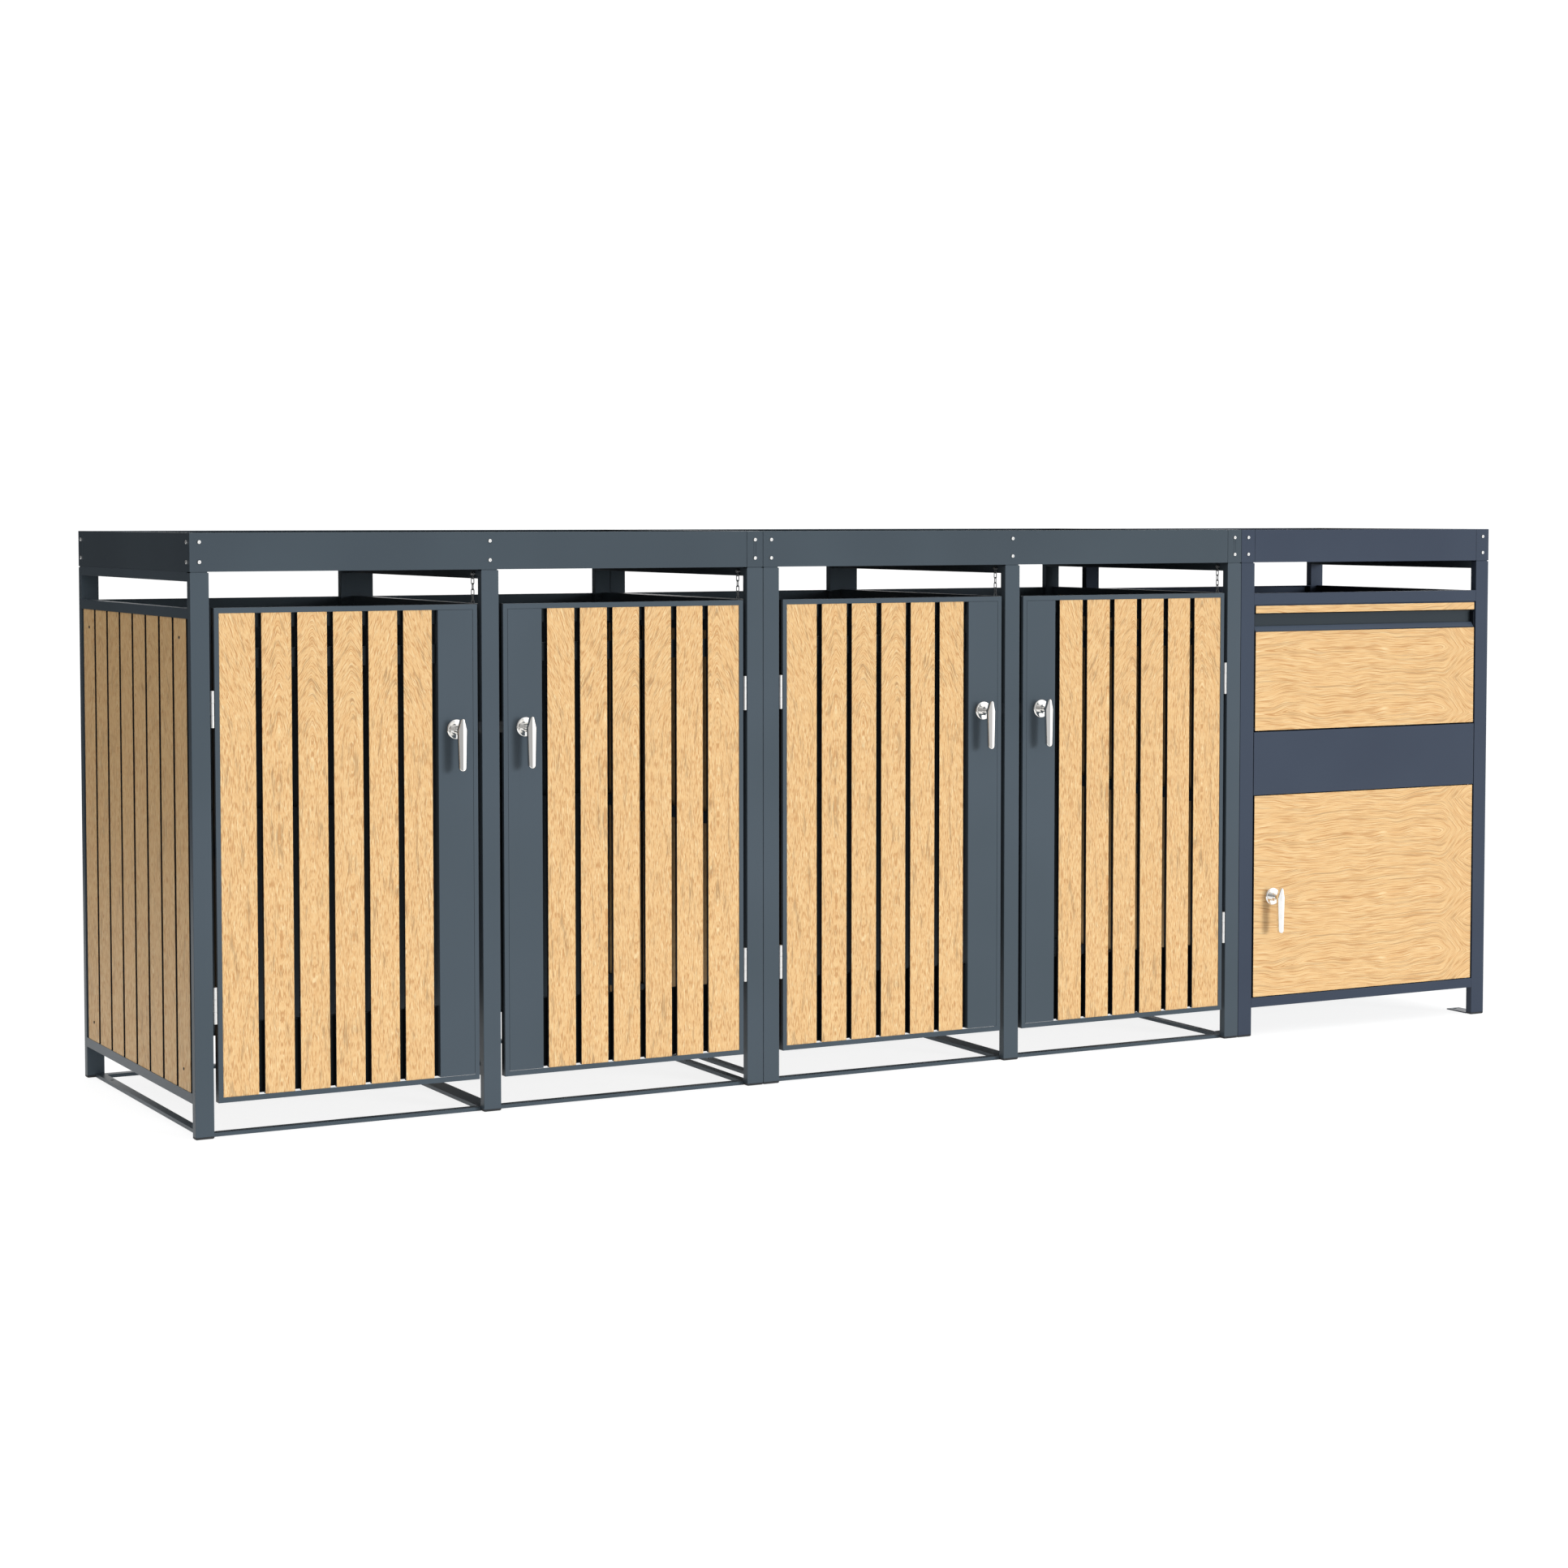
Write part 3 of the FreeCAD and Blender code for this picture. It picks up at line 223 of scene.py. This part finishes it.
def oak_finish(name, facing, light, figure, fineness, greyness):
    """Oak with growth rings, pores and soft grey streaks; board edges are dark.

    facing is the axis that the boards face along, and light is the light reckoned to reach them; less of it
    paints them lighter.
    fineness draws the lines closer together, and greyness is how strong the grey streaks are.
    figure(tree, axes) gives the distance from the heart line, how far the rings have drawn in towards
    it, the place along the grain, a seed and a tone from 0 to 1.
    """
    def shade(red, green, blue):
        return seen(red, green, blue, light)

    material, tree, shader = new_material(name, Specular_IOR_Level=0.3)
    coordinates = new_node(tree, "ShaderNodeTexCoord").outputs
    axes = new_node(tree, "ShaderNodeSeparateXYZ", [(0, coordinates["Object"])]).outputs
    off, drawn_in, run, seed, tone_draw = figure(tree, axes)
    wander = noise(tree, combine(tree, maths(tree, "MULTIPLY", off, 9.0),
                                 maths(tree, "MULTIPLY", run, 6.0), seed), 1.0, 2.0)
    off = maths(tree, "ADD", off, maths(tree, "MULTIPLY_ADD", wander, 0.014, -0.007))
    radius = maths(tree, "SQRT", maths(tree, "MULTIPLY_ADD", off, off, HEART_ROUND ** 2))
    radius = maths(tree, "ADD", radius, drawn_in)
    seed = maths(tree, "MULTIPLY_ADD", off, 30.0, seed)
    ripple = noise(tree, combine(tree, maths(tree, "MULTIPLY", off, 70.0),
                                 maths(tree, "MULTIPLY", run, 26.0), seed), 1.0, 2.0)
    radius = maths(tree, "ADD", radius, maths(tree, "MULTIPLY_ADD", ripple, 0.006, -0.003))

    def grain(lines, dashes, detail=1.0):
        """Noise drawn out along the rings, with so many lines and dashes to a metre."""
        return noise(tree, combine(tree, maths(tree, "MULTIPLY", radius, lines * fineness),
                                   maths(tree, "MULTIPLY", run, dashes), seed), 1.0, detail)

    rings = spread(tree, grain(150.0, 3.0), 0.35, 0.65)
    pores = spread(tree, grain(430.0, 60.0), 0.50, 0.66)
    fine = spread(tree, grain(820.0, 110.0), 0.42, 0.66)
    glints = spread(tree, grain(330.0, 48.0), 0.56, 0.70)
    streaks = spread(tree, grain(85.0, 14.0, 2.0), 0.52, 0.68)
    dashes = spread(tree, grain(400.0, 26.0), 0.42, 0.58)
    tone = mix(tree, rings, shade(246, 207, 150), shade(243, 202, 144))
    tone = mix(tree, maths(tree, "MULTIPLY", glints, 0.80), tone, shade(255, 229, 179))
    tone = mix(tree, maths(tree, "MULTIPLY", fine, 0.55), tone, shade(228, 173, 111))
    tone = mix(tree, maths(tree, "MULTIPLY", pores, 0.75), tone, shade(200, 146, 90))
    grey = maths(tree, "MULTIPLY", maths(tree, "MULTIPLY", streaks, dashes), greyness)
    tone = mix(tree, grey, tone, shade(172, 138, 96))
    tone = mix(tree, maths(tree, "MULTIPLY", tone_draw, 0.14), tone, shade(226, 186, 132))
    normal = new_node(tree, "ShaderNodeSeparateXYZ", [(0, coordinates["Normal"])]).outputs
    on_face = spread(tree, maths(tree, "ABSOLUTE", normal[facing]), 0.50, 0.80)
    tone = mix(tree, on_face, EDGE_STAIN, tone)
    tree.links.new(tone, shader.inputs["Base Color"])
    tree.links.new(spread(tree, pores, 0.0, 1.0, 0.50, 0.66), shader.inputs["Roughness"])
    relief = maths(tree, "MULTIPLY_ADD", fine, -0.4, maths(tree, "MULTIPLY", pores, -1.0))
    tree.links.new(bump(tree, relief, 0.00012), shader.inputs["Normal"])
    return material


def oak_boards(name, across, along, facing, light, start, pitch, count):
    """Separate boards side by side, each cut from another part of the trunk.

    across and along are the axes across the boards and along their grain.
    """
    def figure(tree, axes):
        from_start = maths(tree, "SUBTRACT", axes[across], start)
        board, draws = board_seeds(tree, from_start, pitch, count)
        run = maths(tree, "MULTIPLY_ADD", draws[0], 7.0, axes[along])
        middle = maths(tree, "MULTIPLY", maths(tree, "ADD", board, 0.5), pitch)
        heart = maths(tree, "MULTIPLY_ADD", draws[1], 1.8 * pitch, -0.9 * pitch)
        off = maths(tree, "SUBTRACT", maths(tree, "SUBTRACT", from_start, middle), heart)
        seed = maths(tree, "MULTIPLY", board, 3.7)
        arches = spread(tree, axes[along], ARCHES[0], ARCHES[1], 0.0, 0.14)
        drawn_in = maths(tree, "MULTIPLY", arches, maths(tree, "MULTIPLY_ADD", draws[2], 0.8, 0.2))
        return off, drawn_in, run, seed, draws[2]

    return oak_finish(name, facing, light, figure, fineness=1.15, greyness=0.65)


def oak_sheet(name, across, along, facing, light, start, pitch, low, high):
    """One veneered sheet: the same figure every pitch, with its arches pointing to the high end."""
    def figure(tree, axes):
        turns = maths(tree, "DIVIDE", maths(tree, "SUBTRACT", axes[across], start), pitch)
        step = maths(tree, "FLOOR", turns)
        place_in_step = maths(tree, "SUBTRACT", maths(tree, "SUBTRACT", turns, step), 0.5)
        off = maths(tree, "MULTIPLY", place_in_step, pitch)
        arches = spread(tree, axes[along], low + 0.84 * (high - low), high, 0.0, 0.07)
        start_arches = spread(tree, axes[along], low, low + 0.30 * (high - low), 0.012, 0.0)
        run = maths(tree, "MULTIPLY", axes[along], 0.24)
        wave = noise(tree, combine(tree, maths(tree, "MULTIPLY", axes[along], 5.0),
                                   maths(tree, "MULTIPLY", axes[across], 4.0), 0.0), 1.0, 2.0)
        off = maths(tree, "ADD", off, maths(tree, "MULTIPLY_ADD", wave, 0.05, -0.025))
        return off, maths(tree, "ADD", arches, start_arches), run, 1.3, 0.3

    return oak_finish(name, facing, light, figure, fineness=1.75, greyness=0.62)


def bare_metal(name, colour, roughness, smudge):
    """Polished or brushed metal whose gloss varies a little with handling."""
    material, tree, shader = new_material(name, Metallic=1.0, Base_Color=colour)
    place = object_place(tree)
    cloud = noise(tree, place, 60.0, 3.0)
    tree.links.new(spread(tree, cloud, 0.3, 0.7, roughness, roughness + smudge), shader.inputs["Roughness"])
    grain = noise(tree, place, 300.0, 1.0)
    tree.links.new(bump(tree, grain, 0.000001), shader.inputs["Normal"])
    return material


def moulded_plastic(name, colour):
    material, tree, shader = new_material(name, Specular_IOR_Level=0.35)
    place = object_place(tree)
    grain = noise(tree, place, 1100.0, 2.0)
    lighter = tuple(value * 1.25 for value in colour[:3]) + (1.0,)
    tone = mix(tree, spread(tree, grain, 0.35, 0.7), colour, lighter)
    tree.links.new(tone, shader.inputs["Base Color"])
    tree.links.new(spread(tree, grain, 0.3, 0.7, 0.55, 0.7), shader.inputs["Roughness"])
    tree.links.new(bump(tree, grain, 0.00005), shader.inputs["Normal"])
    return material


def dress(name, material):
    """Gives a CAD node its finish."""
    nodes[name].data.materials[0] = material


def soften(name, width):
    """Gives the sharp edges of a CAD node's pieces a small rounding of this width."""
    piece = nodes[name]
    weld = piece.modifiers.new("weld", "WELD")
    weld.merge_threshold = WELD_WITHIN
    bevel = piece.modifiers.new("edges", "BEVEL")
    bevel.width = width
    bevel.segments = 2
    bevel.limit_method = "ANGLE"
    bevel.angle_limit = math.radians(SHARP_FROM)
    bevel.harden_normals = False
    bevel.use_clamp_overlap = True


# ---- camera, floor and lights ----
def make_camera():
    data = bpy.data.cameras.new("camera")
    camera = bpy.data.objects.new("camera", data)
    bpy.context.scene.collection.objects.link(camera)
    camera.location = CAMERA_AT
    camera.rotation_euler = (math.radians(CAMERA_TILT), 0, math.radians(CAMERA_TURN))
    data.lens = CAMERA_LENS
    data.sensor_width = 36
    data.shift_x, data.shift_y = CAMERA_SHIFT
    data.clip_end = 200
    bpy.context.scene.camera = camera


def make_floor():
    mesh = bpy.data.meshes.new("floor")
    half = FLOOR_SIZE / 2
    corners = [(-half, -half, 0), (half, -half, 0), (half, half, 0), (-half, half, 0)]
    mesh.from_pydata(corners, [], [(0, 1, 2, 3)])
    floor = bpy.data.objects.new("floor", mesh)
    bpy.context.scene.collection.objects.link(floor)
    material, tree, shader = new_material("pale_floor", Roughness=0.8, Specular_IOR_Level=0.1,
                                          Emission_Color=(1.0, 1.0, 1.0, 1.0), Emission_Strength=FLOOR_GLOW)
    cloud = noise(tree, object_place(tree), 1.5, 2.0)
    tone = mix(tree, cloud, *FLOOR_TONES)
    tree.links.new(tone, shader.inputs["Base Color"])
    mesh.materials.append(material)


def make_lights():
    data = bpy.data.lights.new("key", "SUN")
    data.energy = KEY_STRENGTH
    data.color = KEY_COLOUR
    data.angle = math.radians(KEY_SPREAD)
    key = bpy.data.objects.new("key", data)
    bpy.context.scene.collection.objects.link(key)
    turn, up = math.radians(KEY_TURN), math.radians(KEY_UP)
    towards = Vector((math.sin(turn) * math.cos(up), -math.cos(turn) * math.cos(up), math.sin(up)))
    key.rotation_euler = towards.to_track_quat("Z", "Y").to_euler()
    key.location = towards * KEY_DISTANCE
    key.visible_glossy = False

    # the surroundings: white where the camera sees them, with a dark screen behind the left end; gloss has
    # its own, which is bright on the right
    world = bpy.data.worlds.new("studio")
    bpy.context.scene.world = world
    world.use_nodes = True
    tree = world.node_tree
    background = tree.nodes["Background"]
    direction = new_node(tree, "ShaderNodeTexCoord").outputs["Generated"]

    def facing(way):
        """Cosine of the angle between the direction looked in and this way."""
        links = [(0, direction), (1, Vector(way).normalized())]
        return new_node(tree, "ShaderNodeVectorMath", links, operation="DOT_PRODUCT").outputs["Value"]

    strength = spread(tree, facing(RIGHT_WAY), -0.6, 0.95, SKY_LEFT, SKY_RIGHT)
    screen = spread(tree, facing(DARK_WAY), 0.35, 0.80, 1.0, SCREEN_LIGHT)
    strength = maths(tree, "MULTIPLY", strength, screen)
    strength = maths(tree, "ADD", strength, spread(tree, facing((0, 0, 1)), 0.25, 0.85, 0.0, SKY_ABOVE))
    rays = new_node(tree, "ShaderNodeLightPath").outputs
    gloss = spread(tree, facing((1, 0, 0)), -0.75, 0.95, GLOSS_LEFT, GLOSS_RIGHT)
    gloss = maths(tree, "MULTIPLY", gloss, screen)
    glossy = rays["Is Glossy Ray"]
    strength = maths(tree, "ADD", maths(tree, "MULTIPLY", strength, maths(tree, "SUBTRACT", 1.0, glossy)),
                     maths(tree, "MULTIPLY", gloss, glossy))
    strength = maths(tree, "MAXIMUM", strength, maths(tree, "MULTIPLY", rays["Is Camera Ray"], BACKDROP))
    tree.links.new(strength, background.inputs["Strength"])
    background.inputs["Color"].default_value = (1.0, 1.0, 1.0, 1.0)
    view = bpy.context.scene.view_settings
    view.view_transform = "Standard"


# ---- CAD nodes ----
def slat_run(door):
    """Start, pitch and count of one door's boards; the board beside the hinges is the widest."""
    low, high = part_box(f"door_{door}_slats")
    hinges_on_left = door % 2 == 1
    start = high.x - DOOR_BOARDS * DOOR_BOARD_PITCH if hinges_on_left else low.x
    return start, DOOR_BOARD_PITCH, DOOR_BOARDS


def dress_steel():
    """Finishes by the node's own slot, then the ones that differ: darker and lighter copies of the steel that
    paint shade and light onto the fascia, the parcel unit's inner parts, the grip and the door frames'
    battens.
    """
    finishes = {
        "anthracite_steel": powder_coat("anthracite_steel", *ANTHRACITE),
        "parcel_steel": powder_coat("parcel_steel", *PARCEL),
        "chrome": bare_metal("chrome", (0.88, 0.87, 0.85, 1.0), roughness=0.07, smudge=0.06),
        "stainless": bare_metal("stainless", (0.80, 0.80, 0.79, 1.0), roughness=0.30, smudge=0.10),
        "chain_steel": bare_metal("chain_steel", (0.30, 0.31, 0.32, 1.0), roughness=0.32, smudge=0.12),
        "foot_plastic": moulded_plastic("foot_plastic", seen(44, 47, 50)),
    }
    for name, piece in nodes.items():
        slot = piece.data.materials[0].name.split(".")[0]
        if slot in finishes:
            dress(name, finishes[slot])
    # the fascia gets a darker copy of the anthracite steel: painted shade
    fascia = powder_coat("fascia_steel", *FASCIA)
    for name in ("fascia_panels", "fascia_corner_caps"):
        dress(name, fascia)
    # painted shade: the parcel door's tray and the hopper's shell are near-black
    inner_shaded = powder_coat("inner_steel_painted_shade", *INNER_PAINTED_SHADE)
    for name in ("parcel_door_tray", "hopper_shell"):
        dress(name, inner_shaded)
    # painted light on the grip's lip and painted shade on its recessed back plate
    grip_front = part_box("hopper_grip")[0].y
    grip = powder_coat("grip_steel", *GRIP, inner_from=grip_front + GRIP_LIP_DEPTH, inner=GRIP_BACK)
    dress("hopper_grip", grip)
    # painted shade on the door frames' battens behind the boards
    door_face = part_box("door_1_frame")[0].y
    framed = powder_coat("door_frame_steel", *ANTHRACITE, inner_from=door_face + DOOR_FACE_DEPTH)
    for door in BAYS:
        dress(f"door_{door}_frame", framed)


def dress_oak():
    """Upright boards on the doors and the end wall, and sheets with a level grain on the parcel unit."""
    for door in BAYS:
        dress(f"door_{door}_slats", oak_boards(f"oak_door_{door}", X, Z, Y, FULL_LIGHT, *slat_run(door)))
        soften(f"door_{door}_slats", DOOR_BOARD_EDGE)
    low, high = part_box("side_wall_slats")
    side_pitch = (high.y - low.y + SIDE_BOARD_GAP) / SIDE_BOARDS
    # the end wall's oak is painted lighter than the doors': painted light on its shaded side
    dress("side_wall_slats", oak_boards("oak_side", Y, Z, X, SIDE_LIGHT, low.y, side_pitch, SIDE_BOARDS))
    soften("side_wall_slats", SIDE_BOARD_EDGE)
    low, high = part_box("parcel_door_board")
    sheet = oak_sheet("oak_sheet", Z, X, Y, SHEET_LIGHT, low.z, SHEET_REPEAT, low.x, high.x)
    for name in ("parcel_header_strip", "parcel_door_board", "hopper_board"):
        dress(name, sheet)
        soften(name, SHEET_EDGE)


def screw_head(shape, low_x, y, z):
    """Turns the screw's profile about its axis, which runs along X."""
    head = [shape.verts.new((low_x - out * MM, y + radius * MM, z)) for radius, out in SCREW_PROFILE]
    edges = [shape.edges.new(pair) for pair in zip(head, head[1:])]
    bmesh.ops.spin(shape, geom=head + edges, cent=(low_x, y, z), axis=(1, 0, 0), steps=SCREW_STEPS,
                   angle=2 * math.pi, use_merge=True)


def side_wall_screws():
    """Small dark screws that hold the first and last board of the exposed end wall to its battens."""
    low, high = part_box("side_wall_slats")
    board = (high.y - low.y - (SIDE_BOARDS - 1) * SIDE_BOARD_GAP) / SIDE_BOARDS
    shape = bmesh.new()
    for y in (low.y + board / 2 + SCREW_INWARD, high.y - board / 2 - SCREW_INWARD):
        for z in (low.z + SCREW_UP, high.z - SCREW_DOWN):
            screw_head(shape, low.x, y, z)
    bmesh.ops.remove_doubles(shape, verts=shape.verts, dist=WELD_WITHIN)
    bmesh.ops.holes_fill(shape, edges=shape.edges)
    bmesh.ops.recalc_face_normals(shape, faces=shape.faces)
    mesh = bpy.data.meshes.new("side_wall_screws")
    shape.to_mesh(mesh)
    shape.free()
    for face in mesh.polygons:
        face.use_smooth = True
    screws = bpy.data.objects.new("side_wall_screws", mesh)
    bpy.context.scene.collection.objects.link(screws)
    finish = bare_metal("blackened_screw", (0.03, 0.03, 0.035, 1.0), roughness=0.45, smudge=0.10)
    mesh.materials.append(finish)
    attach(screws, "cabinet")


def soften_steel():
    """Frame members get the wider rounding, and folded panels and doors the narrower one."""
    for name in ("front_posts", "rear_posts", "parcel_posts", "top_rails", "side_wall_frames", "ground_rails",
                 "parcel_front_rails", "foot_caps", "parcel_foot_plates", "divider_walls"):
        soften(name, FRAME_EDGE)
    for name in ("fascia_panels", "fascia_corner_caps", "parcel_fascia", "parcel_mid_panel", "hopper_grip",
                 "parcel_door_tray", "roof_trays", "rear_walls", "parcel_outer_panels", "parcel_liner"):
        soften(name, PANEL_EDGE)
    for door in BAYS:
        soften(f"door_{door}_frame", PANEL_EDGE)
        soften(f"door_{door}_lock_panel", PANEL_EDGE)


make_camera()
make_floor()
make_lights()
dress_steel()
dress_oak()
soften_steel()
side_wall_screws()
